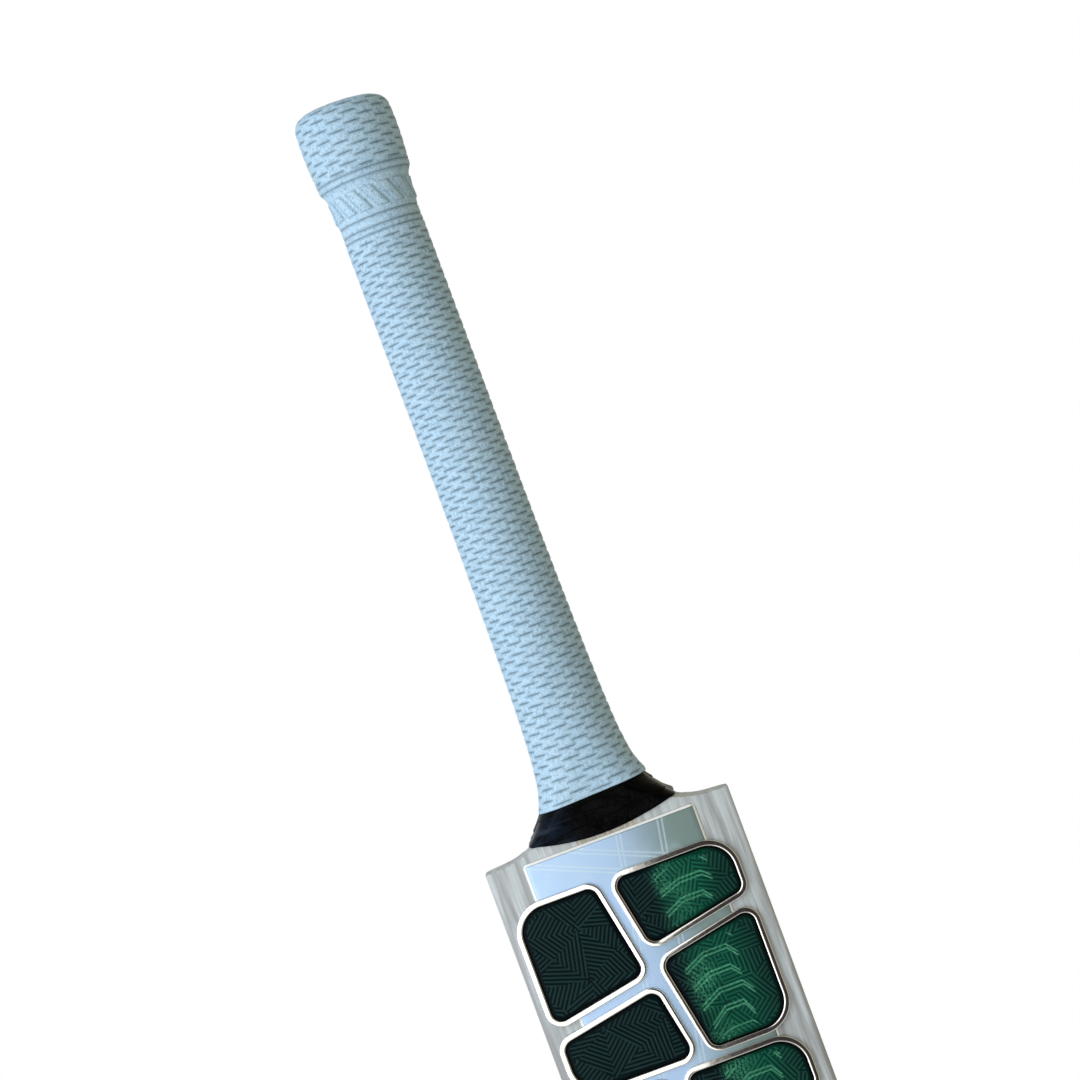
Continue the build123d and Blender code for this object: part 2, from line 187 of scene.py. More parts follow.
def willow():
    paint = Paint("pale_willow", Coat_Weight=0.12, Coat_Roughness=0.35, IOR=1.45)
    broad, fine = paint.noise(**BROAD_GRAIN), paint.noise(**FINE_GRAIN)
    grain = broad.ramp(0.46, 0.66)
    painted_highlights = fine.ramp(0.35, 0.75)
    smudges = paint.noise(**SMUDGES).ramp(0.5, 0.72) * (grain * 0.4 + 0.15)
    flecks = paint.noise(**FLECKS).ramp(0.46, 0.66)
    tone = paint.mix(painted_highlights * FINE_STRENGTH, WILLOW_PALE, WILLOW_GREY)
    tone = paint.mix(grain * BROAD_STRENGTH, tone, WILLOW_GREY)
    tone = paint.mix(smudges, tone, WILLOW_BROWN)
    tone = paint.mix(flecks * FLECK_STRENGTH, tone, WILLOW_BROWN)
    height = fine * 0.6 + broad * 0.4
    return paint.finish(
        Base_Color=tone, Roughness=fine * 0.22 + 0.40, Normal=paint.bump(height, GRAIN_DEPTH, 0.55)
    )


dress("blade", willow())

# HANDLE CORE --------------------------------------------------------------------------------------
# Twelve strips of split cane in four slabs, glued up with three flat rubber springs between the
# slabs. Below the shoulder it tapers into the blade, and its end shows through the grip's hole.

CANE_LIGHT = (0.56, 0.54, 0.49, 1)
CANE_DARK = (0.37, 0.34, 0.29, 1)
CANE_FIBRES = {"stretch": (1, 1, 0.03), "scale": 900, "detail": 2, "roughness": 0.6}
FIBRE_DEPTH = 0.0002
SPRING_BLACK = (0.012, 0.012, 0.013, 1)
EVEN = (1, 1, 1)
GRIT_DEPTH = 0.0001


def cane():
    paint = Paint("split_cane", IOR=1.45)
    fibres = paint.noise(**CANE_FIBRES)
    tone = paint.mix(fibres.ramp(0.35, 0.7), CANE_LIGHT, CANE_DARK)
    return paint.finish(
        Base_Color=tone, Roughness=fibres * 0.2 + 0.5, Normal=paint.bump(fibres, FIBRE_DEPTH, 0.6)
    )


def spring_rubber():
    paint = Paint("spring_rubber", Base_Color=SPRING_BLACK)
    grit = paint.noise(EVEN, scale=1500)
    return paint.finish(Roughness=grit * 0.2 + 0.6, Normal=paint.bump(grit, GRIT_DEPTH, 0.4))


cane_material = cane()
spring_material = spring_rubber()
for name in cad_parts:
    if name.startswith("cane_"):
        dress(name, cane_material)
    if name.startswith("rubber_spring_"):
        dress(name, spring_material)

# TWINE BINDING ------------------------------------------------------------------------------------
# Waxed linen thread, wound close round the handle over glue, so that the cane can't split.
# The grip and the tape cover it, and each turn lies a thread's width above the last.

THREAD_PITCH = 0.9
THREAD_RELIEF = 0.0004
THREAD_LIT = (0.62, 0.55, 0.40, 1)
THREAD_SHADED = (0.30, 0.25, 0.17, 1)


def thread():
    paint = Paint("waxed_thread", Sheen_Weight=0.2)
    _, _, along = paint.axes()
    strand = paint.node("Math", {"operation": "PINGPONG"}, [along / THREAD_PITCH, 0.5]) * 2
    # Painted shade: each turn is lit in its middle and darker where it meets the next, in the bump's groove.
    tone = paint.mix(strand, THREAD_SHADED, THREAD_LIT)
    return paint.finish(
        Base_Color=tone, Roughness=0.8 - strand * 0.2, Normal=paint.bump(strand, THREAD_RELIEF, 0.8)
    )


dress("twine_binding", thread())

# TOE GUARD ----------------------------------------------------------------------------------------
# A moulded plate of hard black rubber, pebbled all over and glued under the flat of the toe.
# It keeps damp out of the end grain, and the ground scuffs it from side to side.

GUARD_BLACK = (0.018, 0.018, 0.020, 1)
PEBBLE_DEPTH = 0.0002


def guard_rubber():
    paint = Paint("toe_rubber", Base_Color=GUARD_BLACK)
    pebble = paint.noise(EVEN, scale=900, detail=2)
    scuffs = paint.noise(stretch=(0.3, 1, 1), scale=160)
    return paint.finish(Roughness=scuffs * 0.3 + 0.45, Normal=paint.bump(pebble, PEBBLE_DEPTH, 0.5))


dress("toe_guard", guard_rubber())

# SHOULDER TAPE ------------------------------------------------------------------------------------
# Glossy black plastic tape, pulled tight round the foot of the twine in overlapping turns.
# The edges of the turns lie aslant, and the lowest edge droops in an arc over the face and the back.
# Its colour carries a painted blue sheen and painted highlight streaks on its left side.

SHOULDER = -161
COLUMNS = 162
NECK_HEIGHTS = [-4, 2, 6.5, 11, 15, 23, 33, 50, 70]
NECK_HALF_WIDTHS = [62, 36.5, 29.4, 25.6, 22.6, 19.2, 17.5, 16.3, 15.65]
NECK_FRONTS = [16.6, 16.5, 16.4, 16.3, 16.2, 16.1, 16, 15.8, 15.65]
NECK_BACKS = [18.4, 18, 17.8, 17.5, 17.2, 16.6, 16.2, 15.9, 15.65]
NECK_CORNERS = [1.5, 2, 5, 8, 10.5, 13, 15, 15.6, 15.6]
WAIST_HEIGHT = 185
WAIST_RADIUS = 14.65
WAIST_SLOPE = -0.02
RING_REACH = 1.5
RING_PASSES = 26
LEAST_FLAT = 0.001
TAPE_GROWTH = 1.5
TAPE_TOP = 40
TAPE_DROOP = -0.1
TAPE_EDGE_RADIUS = 112
TAPE_EDGE_GUESS = 4.0
TAPE_EDGE_PASSES = 8
TAPE_EDGE_WAVER = 0.22
TAPE_EDGE_WAVES = (3, 3, 5)
TAPE_EDGE_ROLL = 0.5
TAPE_EDGE_ROLL_HEIGHT = 0.25
TAPE_ROWS = 96
TAPE_ROW_CROWDING = 1.15
TAPE_INNER_GROWTH = 0.05
TAPE_LAPS = [6.2, 10.6, 14.8]
LAP_STEP = 0.42
LAP_STEP_HEIGHT = 0.16
LAP_FADE_HEIGHT = 6
LAP_MARK_HEIGHT = 0.35
LAP_SLANT = 0.085
LAP_SWAY = 0.3
WRINKLES = {"seed": 11, "count": 7, "reach_round": 9, "reach_up": 1.1}
WRINKLE_DEPTH = 0.10
PUCKERS = {"seed": 5, "count": 5, "reach_round": 26, "reach_up": 0.5}
PUCKER_DEPTH = 0.05
CREASE_DEPTH = 0.0010
PAINTED_SHEEN_FADE = (-24, -8)
PAINTED_HIGHLIGHT_FADE = (-24, 2)
TAPE_BLACK = (0.0006, 0.0007, 0.0009, 1)
TAPE_PAINTED_SHEEN_BLUE = (0.0045, 0.0105, 0.024, 1)
TAPE_PAINTED_HIGHLIGHT = (0.022, 0.036, 0.056, 1)


def hermite(place, knots, values, slopes):
    """A smooth curve through values at knots."""
    place = np.clip(place, knots[0], knots[-1])
    span = np.clip(np.searchsorted(knots, place, side="right") - 1, 0, len(knots) - 2)
    width = knots[span + 1] - knots[span]
    t = (place - knots[span]) / width
    start = values[span] * (1 + 2 * t) * (1 - t) ** 2 + slopes[span] * width * t * (1 - t) ** 2
    end = values[span + 1] * t**2 * (3 - 2 * t) - slopes[span + 1] * width * t**2 * (1 - t)
    return start + end


def through(place, knots, values):
    """A smooth curve through values at knots, with its slopes taken from the values."""
    knots, values = np.array(knots, float), np.array(values, float)
    return hermite(place, knots, values, np.gradient(values, knots))


def timber_ring(height, turn, growth):
    """Points round the timber of the neck and handle, grown by a covering. A turn of 0 is the right side,
    and a quarter turn the back. Heights are above the shoulder."""
    low = np.minimum(height, NECK_HEIGHTS[-1])
    half = through(low, NECK_HEIGHTS, NECK_HALF_WIDTHS)
    front = through(low, NECK_HEIGHTS, NECK_FRONTS)
    back = through(low, NECK_HEIGHTS, NECK_BACKS)
    corner = through(low, NECK_HEIGHTS, NECK_CORNERS)
    radius = hermite(
        height,
        np.array([NECK_HEIGHTS[-1], WAIST_HEIGHT]),
        np.array([NECK_HALF_WIDTHS[-1], WAIST_RADIUS]),
        np.array([WAIST_SLOPE, 0]),
    )
    above = height > NECK_HEIGHTS[-1]
    half = np.where(above, radius, half) + growth
    depth = np.where(above, radius, (front + back) / 2) + growth
    corner = np.minimum(np.where(above, radius, corner) + growth, np.minimum(half, depth) - LEAST_FLAT)
    middle = np.where(above, 0, (back - front) / 2)
    along_x, along_y = half * np.cos(turn), depth * np.sin(turn)
    near, far = np.zeros_like(along_x), np.full_like(along_x, RING_REACH)
    for _ in range(RING_PASSES):
        share = (near + far) / 2
        over_x = np.abs(along_x * share) - (half - corner)
        over_y = np.abs(along_y * share) - (depth - corner)
        outside = np.hypot(np.maximum(over_x, 0), np.maximum(over_y, 0))
        distance = outside + np.minimum(np.maximum(over_x, over_y), 0) - corner
        near = np.where(distance < 0, share, near)
        far = np.where(distance < 0, far, share)
    return along_x * near, along_y * near + middle


def sheet_faces(rows, columns, wrap_rows, wrap_columns):
    """Four-cornered faces between the points of a grid, which may close on itself."""
    row = np.arange(rows if wrap_rows else rows - 1)[:, None]
    column = np.arange(columns if wrap_columns else columns - 1)[None, :]
    row_after, column_after = (row + 1) % rows, (column + 1) % columns
    corners = [
        row * columns + column,
        row * columns + column_after,
        row_after * columns + column_after,
        row_after * columns + column,
    ]
    return np.stack([np.broadcast_to(c, (row.size, column.size)) for c in corners], -1).reshape(-1, 4)


def solid(name, points, faces, marks=None):
    """A smooth mesh of points in millimetres, with a value at each point for every mark."""
    mesh = bpy.data.meshes.new(name)
    mesh.from_pydata((np.asarray(points) / 1000).tolist(), [], [list(map(int, f)) for f in faces])
    for mark, values in (marks or {}).items():
        layer = mesh.attributes.new(mark, "FLOAT", "POINT")
        layer.data.foreach_set("value", np.asarray(values, np.float32).ravel())
    shape = bmesh.new()
    shape.from_mesh(mesh)
    bmesh.ops.recalc_face_normals(shape, faces=shape.faces)
    shape.to_mesh(mesh)
    shape.free()
    mesh.shade_smooth()
    piece = bpy.data.objects.new(name, mesh)
    bpy.context.scene.collection.objects.link(piece)
    return piece


def fit(piece, node, material):
    """Puts a piece in the place of its CAD node."""
    piece.data.materials.append(material)
    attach(piece, "root")
    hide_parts(node)


def soft_waves(seed, count, reach, *places):
    """A sum of seeded waves over one or more coordinates, between about -1 and 1."""
    random = np.random.RandomState(seed)
    total = 0
    for _ in range(count):
        pull = random.uniform(-1, 1, len(places)) * reach
        total = total + np.sin(sum(p * q for p, q in zip(pull, places)) + random.uniform(0, 2 * math.pi))
    return total / math.sqrt(count)


def wall_waves(height, turn, seed, count, reach_round, reach_up):
    """Seeded waves over the wall of a sleeve."""
    x, y = reach_round * np.cos(turn), reach_round * np.sin(turn)
    return soft_waves(seed, count, 1, x, y, height * reach_up)


def column_turns():
    """The turns of the columns of points round a sleeve."""
    return np.linspace(0, 2 * math.pi, COLUMNS, endpoint=False)[None, :]


def tape_edge(turn):
    """The height of the tape's lower edge, an arc that rises from the middle of the face and the back."""
    edge = np.full((1, COLUMNS), TAPE_EDGE_GUESS)
    for _ in range(TAPE_EDGE_PASSES):
        x, _ = timber_ring(edge, turn, TAPE_GROWTH)
        edge = TAPE_DROOP + x**2 / (2 * TAPE_EDGE_RADIUS)
    return edge + TAPE_EDGE_WAVER * soft_waves(*TAPE_EDGE_WAVES, np.cos(turn), np.sin(turn))


def tape_laps(height, turn):
    """How far the tape stands off the timber, and how near a point lies to the edge of a lap."""
    slant = LAP_SLANT * timber_ring(height, turn, 0)[0] * np.sign(-np.sin(turn) + 1e-9)
    growth = np.full(height.shape, TAPE_GROWTH - LAP_STEP)
    lap_marks = np.zeros(height.shape)
    for index, lap in enumerate(TAPE_LAPS):
        way = 1 - 2 * (index % 2)
        above = height - lap - slant * way - LAP_SWAY * np.sin(2 * turn + index)
        step = LAP_STEP * (0.5 + 0.5 * np.tanh(above / LAP_STEP_HEIGHT))
        growth = growth + step * np.exp(-np.maximum(above, 0) / LAP_FADE_HEIGHT)
        lap_marks = np.maximum(lap_marks, np.exp(-((above / LAP_MARK_HEIGHT) ** 2)))
    return growth, lap_marks


def tape_sleeve():
    turn = column_turns()
    low = tape_edge(turn)
    share = np.linspace(0, 1, TAPE_ROWS)[:, None] ** TAPE_ROW_CROWDING
    height = low + (TAPE_TOP - low) * share
    growth, lap_marks = tape_laps(height, turn)
    growth = growth + WRINKLE_DEPTH * wall_waves(height, turn, **WRINKLES)
    growth = growth + PUCKER_DEPTH * wall_waves(height, turn, **PUCKERS)
    growth = growth - TAPE_EDGE_ROLL * np.exp(-(height - low) / TAPE_EDGE_ROLL_HEIGHT)
    x, y = timber_ring(height, turn, growth)
    outer = np.stack([x, y, height + SHOULDER], -1)
    inner_x, inner_y = timber_ring(height[::-1], turn, TAPE_INNER_GROWTH)
    inner = np.stack([inner_x, inner_y, height[::-1] + SHOULDER], -1)
    points = np.concatenate([outer, inner]).reshape(-1, 3)
    marks = {"lap": np.concatenate([lap_marks, np.zeros(height.shape)])}
    return solid("wound_tape", points, sheet_faces(2 * TAPE_ROWS, COLUMNS, True, True), marks)


def tape_plastic():
    paint = Paint("glossy_tape", Specular_IOR_Level=0.05)
    across, _, _ = paint.axes()
    crease = paint.noise(stretch=(1, 1, 2.2), scale=95, detail=4, roughness=0.62)
    dust = paint.noise(EVEN, scale=700, detail=2)
    highlight_noise = paint.noise(stretch=(0.35, 0.35, 5), scale=60, detail=3, roughness=0.6)
    # Painted sheen: a blue sheen over the creases on the left side of the tape, where the light falls.
    painted_sheen = (1 - across.ramp(*PAINTED_SHEEN_FADE)) * crease.ramp(0.35, 0.6)
    # Painted highlights: pale streaks, strongest on the left side of the tape and fading towards the right.
    painted_highlights = highlight_noise.ramp(0.56, 0.68) * (1 - across.ramp(*PAINTED_HIGHLIGHT_FADE) * 0.9)
    tone = paint.mix(painted_sheen, TAPE_BLACK, TAPE_PAINTED_SHEEN_BLUE)
    tone = paint.mix(painted_highlights * 0.8, tone, TAPE_PAINTED_HIGHLIGHT)
    rough = crease * 0.22 + 0.14 + paint.attribute("lap") * 0.2
    return paint.finish(
        Base_Color=tone, Roughness=rough, Normal=paint.bump(crease + dust * 0.15, CREASE_DEPTH, 0.6)
    )


fit(tape_sleeve(), "shoulder_tape", tape_plastic())

# GRIP ---------------------------------------------------------------------------------------------
# One moulded rubber sleeve, rolled on over the twine. Its wall carries rows of short sunken dashes,
# each row set half a step round from the last. Above them come ring grooves, a band of slanting blocks
# and a knob, which closes in to a round hole at the end.
# Its colour is darkened in the dashes, the upright lines, the ring grooves and beside the blocks as painted
# shade.

GRIP_FOOT = 16.3
GRIP_GROWTH = 2.7
GRIP_INNER_GROWTH = 0.85
GRIP_INNER_HEIGHTS = [318.6, 300, 262, 230, 185, 150, 110, 70, 50, 33, 27, 23, 20, 18, GRIP_FOOT]
FOOT_ROWS = [GRIP_FOOT + 0.25, GRIP_FOOT + 0.8]
FOOT_ROLL = 0.5
FOOT_ROLL_HEIGHT = 0.3
FOOT_SLOPE = 0.04
FOOT_SLOPE_REACH = 26
DASHES_ROUND = 9
DASH_HALF_LENGTH = 4.15
DASH_HALF_HEIGHT = 0.39
DASH_DEPTH = 0.45
DASH_WOBBLE = 0.25
DASH_WOBBLE_STEPS = (2.7, 1.9)
RIDGE_HALF_WIDTH = 0.45
RIDGE_DEPTH = 0.06
ROW_PITCH = 2.26
ROW_REACH = 0.9
ROW_OFFSETS = [-0.42, 0, 0.42, 1.13]
WEAVE_PLAIN_FOOT = 0.3
WEAVE_EASE_HEIGHT = 1.2
WEAVE_TOP = 262.2
KNOB_WEAVE_FOOT = 293.2
KNOB_WEAVE_TOP = 322.5
BAND_ROWS = np.arange(273.0, 287, 0.5)
PLAIN_ROWS = [264, 266.5, 269.3, 270.6, 289.6, 324, 325.5]
CLOSEST_ROWS = 0.12
KNOB_PROFILE_HEIGHTS = [264, 272.2, 273.0, 274.4, 281, 285.4, 287.3, 288.8, 290.1, 294, 301, 309, 315.5]
KNOB_PROFILE_RADII = [17.35, 17.2, 17.25, 17.4, 17.5, 18.1, 18.8, 19.9, 20.15, 20.4, 20.85, 21.0, 20.75]
KNOB_TOP_CENTRE = 315.5
KNOB_TOP_CORNER = 6.4
KNOB_TOP_SLOPE = -0.028
KNOB_SLOPE_FOOT = 296
KNOB_SLOPE_REACH = 24
END_HOLE = 10
END_WALL = 2.2
LID_RADII = [14, 12, 10.6, END_HOLE, END_HOLE, END_HOLE]
LID_DROPS = [0, 0.03, 0.15, 0.6, 1.4, END_WALL]
RING_GROOVES = [(291.3, 0.5), (288.4, 0.35), (272.1, 0.4), (267.9, 0.45), (265.2, 0.45)]
RING_GROOVE_DEPTH = 0.5
BAND_RADIUS = 18
MOTIF_MIDDLE = 279.6
MOTIF_HALF_HEIGHT = 4.7
MOTIF_STEPS = 15
MOTIF_LEAN = 0.55
MOTIF_GAP = 0.6
MOTIF_FLANK = 1.5
MOTIF_END_FLANK = 0.7
MOTIF_RELIEF = 0.6
SKIN_WAVES = {"seed": 21, "count": 9, "reach_round": 40, "reach_up": 0.9}
SKIN_WAVE_DEPTH = 0.035
RING_SHADE = 0.75
MOTIF_SHADE = 0.6
GRIP_BLUE = (0.49, 0.725, 0.955, 1)
GRIP_SPECKLE_AND_PAINTED_SHADE = (0.045, 0.092, 0.125, 1)
GRIP_WORN = (0.55, 0.75, 0.92, 1)
PORE_DEPTH = 0.0004


def grip_heights():
    """The heights of the rows of points, close together where the wall has detail."""
    rows = []
    row = WEAVE_TOP
    while row > GRIP_FOOT + WEAVE_EASE_HEIGHT:
        rows += [row + offset for offset in ROW_OFFSETS]
        row -= ROW_PITCH
    row = KNOB_WEAVE_FOOT
    while row < KNOB_WEAVE_TOP:
        rows += [row + offset for offset in ROW_OFFSETS]
        row += ROW_PITCH
    for groove, width in RING_GROOVES:
        rows += [groove - width, groove, groove + width]
    rows += [*FOOT_ROWS, *BAND_ROWS, *PLAIN_ROWS]
    rows = np.array(sorted(rows))
    return rows[np.concatenate([[True], np.diff(rows) > CLOSEST_ROWS])]


def smoothstep(value):
    value = np.clip(value, 0, 1)
    return value * value * (3 - 2 * value)


def dash_marks(height, turn, radius):
    """How deep the point lies in a dash, from 0 to 1, and how near to a fine upright line."""
    on_knob = height > (WEAVE_TOP + KNOB_WEAVE_FOOT) / 2
    start = np.where(on_knob, KNOB_WEAVE_FOOT, WEAVE_TOP)
    row = np.round((height - start) / ROW_PITCH)
    rise = height - start - row * ROW_PITCH
    step = 2 * math.pi / DASHES_ROUND
    shifted = turn / step + 0.5 * (row % 2)
    aside = (shifted - np.round(shifted)) * step * radius
    by_row, by_dash = DASH_WOBBLE_STEPS
    wobble = DASH_WOBBLE * np.sin(row * by_row + np.round(shifted) * by_dash)
    reach = np.clip(1 - np.abs((aside + wobble) / DASH_HALF_LENGTH) ** 3, 0, 1)
    dash = np.sqrt(reach) * np.exp(-((rise / DASH_HALF_HEIGHT) ** 2))
    upright = np.exp(-((aside / RIDGE_HALF_WIDTH) ** 2)) * (1 - dash)
    on_handle = height < WEAVE_TOP + ROW_REACH
    on_knob = (height > KNOB_WEAVE_FOOT - ROW_REACH) & (height < KNOB_WEAVE_TOP + ROW_REACH)
    ease = smoothstep((height - GRIP_FOOT - WEAVE_PLAIN_FOOT) / WEAVE_EASE_HEIGHT)
    woven = (on_handle | on_knob) * ease
    return dash * woven, upright * woven


def motif(height, turn):
    """Raised slanting blocks with a narrow gap between them, round the band."""
    lean = (height - MOTIF_MIDDLE) * MOTIF_LEAN / BAND_RADIUS
    phase = (turn + lean) * MOTIF_STEPS / (2 * math.pi)
    from_gap = np.abs(phase - np.round(phase)) * 2 * math.pi * BAND_RADIUS / MOTIF_STEPS
    side = smoothstep((from_gap - MOTIF_GAP) / MOTIF_FLANK)
    from_end = MOTIF_HALF_HEIGHT - np.abs(height - MOTIF_MIDDLE)
    return side * smoothstep(from_end / MOTIF_END_FLANK + 0.5)


def grip_wall(height, turn):
    """The outside of the grip up to the round of its top, and its marks."""
    x, y = timber_ring(height, turn, GRIP_GROWTH)
    profile = through(height, KNOB_PROFILE_HEIGHTS, KNOB_PROFILE_RADII)
    on_head = height > KNOB_PROFILE_HEIGHTS[0]
    x, y = np.where(on_head, profile * np.cos(turn), x), np.where(on_head, profile * np.sin(turn), y)
    radius = np.hypot(x, y)
    dash, upright = dash_marks(height, turn, radius)
    blocks = motif(height, turn)
    rise = MOTIF_RELIEF * blocks - DASH_DEPTH * dash - RIDGE_DEPTH * upright
    ringed = 0
    for groove, width in RING_GROOVES:
        away = ((height - groove) / width) ** 2
        rise = rise - RING_GROOVE_DEPTH * np.exp(-away * 2)
        ringed = ringed + np.exp(-away)
    rise = rise + SKIN_WAVE_DEPTH * wall_waves(height, turn, **SKIN_WAVES)
    rise = rise - FOOT_ROLL * np.exp(-(height - GRIP_FOOT) / FOOT_ROLL_HEIGHT)
    over_corner = np.maximum(height - KNOB_TOP_CENTRE, 0) / KNOB_TOP_CORNER
    drawn_in = (KNOB_TOP_CORNER + rise) * np.cos(over_corner) - KNOB_TOP_CORNER
    scale = 1 + drawn_in / radius
    wall_z = np.minimum(height, KNOB_TOP_CENTRE) + (KNOB_TOP_CORNER + rise) * np.sin(over_corner)
    # Painted shade: the colour darkens in the dashes, in the ring grooves and on the flanks of the blocks.
    beside_block = 4 * blocks * (1 - blocks)
    painted_shade = np.maximum(RING_SHADE * np.minimum(ringed, 1), MOTIF_SHADE * beside_block)
    return np.stack([x * scale, y * scale, wall_z], -1), np.maximum(dash, painted_shade), upright


def grip_sleeve():
    turn = column_turns()
    wall, painted_shade, upright = grip_wall(grip_heights()[:, None] * np.ones_like(turn), turn)
    lid_radius = np.array(LID_RADII)[:, None]
    lid_z = KNOB_TOP_CENTRE + KNOB_TOP_CORNER - np.array(LID_DROPS)[:, None]
    lid = [lid_radius * np.cos(turn), lid_radius * np.sin(turn), lid_z * np.ones_like(turn)]
    inner_height = np.array(GRIP_INNER_HEIGHTS)[:, None] * np.ones_like(turn)
    inner = [*timber_ring(inner_height, turn, GRIP_INNER_GROWTH), inner_height]
    points = np.concatenate([wall, np.stack(lid, -1), np.stack(inner, -1)])
    rows = len(points)
    plain = np.zeros((rows - len(wall), COLUMNS))
    marks = {"dash": np.concatenate([painted_shade, plain]), "upright": np.concatenate([upright, plain])}
    over_band = smoothstep((points[..., 2] - KNOB_SLOPE_FOOT) / KNOB_SLOPE_REACH)
    points[..., 2] += KNOB_TOP_SLOPE * points[..., 0] * over_band
    by_foot = 1 - smoothstep((points[..., 2] - GRIP_FOOT) / FOOT_SLOPE_REACH)
    points[..., 2] += FOOT_SLOPE * points[..., 0] * by_foot
    points = points.reshape(-1, 3) + (0, 0, SHOULDER)
    return solid("moulded_grip", points, sheet_faces(rows, COLUMNS, True, True), marks)


def grip_rubber():
    paint = Paint("pale_blue_rubber", Specular_IOR_Level=0.35, Sheen_Weight=0.08, Sheen_Roughness=0.5)
    bloom = paint.noise(EVEN, scale=55, detail=3)
    shade_noise = paint.noise(EVEN, scale=210, detail=2)
    speckle = paint.noise(EVEN, scale=620, detail=3, roughness=0.7)
    pores = paint.noise(EVEN, scale=1400, detail=2, roughness=0.65)
    grit = paint.noise(EVEN, scale=1500, detail=2, roughness=0.7)
    tone = paint.mix(bloom.ramp(0.4, 0.7) * 0.35, GRIP_BLUE, GRIP_WORN)
    tone = paint.mix(speckle.ramp(0.5, 0.72) * 0.42, tone, GRIP_SPECKLE_AND_PAINTED_SHADE)
    tone = paint.mix((1 - speckle.ramp(0.3, 0.5)) * 0.6, tone, GRIP_WORN)
    tone = paint.mix(grit.ramp(0.44, 0.66) * 0.30, tone, GRIP_SPECKLE_AND_PAINTED_SHADE)
    # Painted shade: darker in the fine upright lines, the dashes, the ring grooves and beside the blocks.
    tone = paint.mix(paint.attribute("upright") * 0.22, tone, GRIP_SPECKLE_AND_PAINTED_SHADE)
    tone = paint.mix(paint.attribute("dash") * (shade_noise * 0.4 + 0.65), tone, GRIP_SPECKLE_AND_PAINTED_SHADE)
    rough = pores * 0.18 + 0.52
    return paint.finish(
        Base_Color=tone, Roughness=rough, Normal=paint.bump(pores + speckle, PORE_DEPTH, 0.6)
    )


fit(grip_sleeve(), "grip", grip_rubber())

# FACE STICKER -------------------------------------------------------------------------------------
# A pearly printed film, pressed onto the face under the badges. Its colour is painted light and shade,
# lit blue at the left and shaded grey-green at the right. A silver line is printed round it, and faint
# double lines cross it.

FACE_DEPTH = 15
BOW_RADIUS = 6500
BOW_HEIGHT = -300
CROWN_RADIUS = 954
FILM_HALF_WIDTH = 38
FILM_TOP = -162.2
FILM_LENGTH = 262
FILM_CORNER = 1.2
FILM_THICKNESS = 0.32
FILM_EDGE_WIDTH = 0.4
FILM_EDGE_SHARE = 0.35
FILM_CELLS = (44, 150)
SEAT_DEPTH = 0.05
FRAME_LINE = 1.15
FRAME_SHADE_WIDTH = 0.35
FRAME_SHADE_START = 0.18
FILM_SLANT = 0.42
FILM_STEEP_SLANT = 0.18
SLANTED_LINES = (-169.5, -171.3, -177.5, -179.3)
STEEP_LINES = (-52.5, -50.6, -34.2, -32.4)
FILM_LINE_HALF_WIDTH = 0.4
FILM_RELIEF = 0.0001
FILM_PAINTED_SHADE_FADE = (-6, 28)
FILM_LIT_BLUE = (0.475, 0.665, 0.95, 1)
FILM_PAINTED_SHADE_GREEN = (0.24, 0.34, 0.335, 1)
FRAME_SHADE = (0.09, 0.12, 0.13, 1)
FRAME_SILVER = (0.97, 0.98, 0.99, 1)
FILM_LINE = (0.62, 0.80, 0.93, 1)


def face_depth(x, height):
    """The depth of the hitting face, at a place in millimetres."""
    return x**2 / (2 * CROWN_RADIUS) - FACE_DEPTH - (height - BOW_HEIGHT) ** 2 / (2 * BOW_RADIUS)


def face_film():
    columns, rows = FILM_CELLS
    across = np.linspace(-1, 1, columns)[None, :]
    along = np.linspace(0, 1, rows)[:, None]
    height = FILM_TOP - FILM_LENGTH * along
    from_end = np.minimum(FILM_TOP - height, height - FILM_TOP + FILM_LENGTH)
    pulled = FILM_CORNER - np.sqrt(np.maximum(FILM_CORNER**2 - np.maximum(FILM_CORNER - from_end, 0) ** 2, 0))
    x = across * (FILM_HALF_WIDTH - pulled)
    height = height * np.ones_like(x)
    edge = np.minimum(FILM_HALF_WIDTH - np.abs(x), from_end)
    lift = FILM_THICKNESS * smoothstep(edge / FILM_EDGE_WIDTH + FILM_EDGE_SHARE)
    front = np.stack([x, face_depth(x, height) - lift, height], -1)
    back = np.stack([x, face_depth(x, height) + SEAT_DEPTH, height], -1)[::-1]
    points = np.concatenate([front, back]).reshape(-1, 3)
    faces = sheet_faces(2 * rows, columns, True, False).tolist()
    for row in range(rows - 1):
        mirror = 2 * rows - 1 - row
        for column in (0, columns - 1):
            corner_rows = (row, row + 1, mirror - 1, mirror)
            faces.append([corner_row * columns + column for corner_row in corner_rows])
    return solid("face_film", points, faces)


def printed_lines(band, places):
    """Thin lines where a slanted coordinate passes each place."""
    return sum(abs(band - place) < FILM_LINE_HALF_WIDTH for place in places)


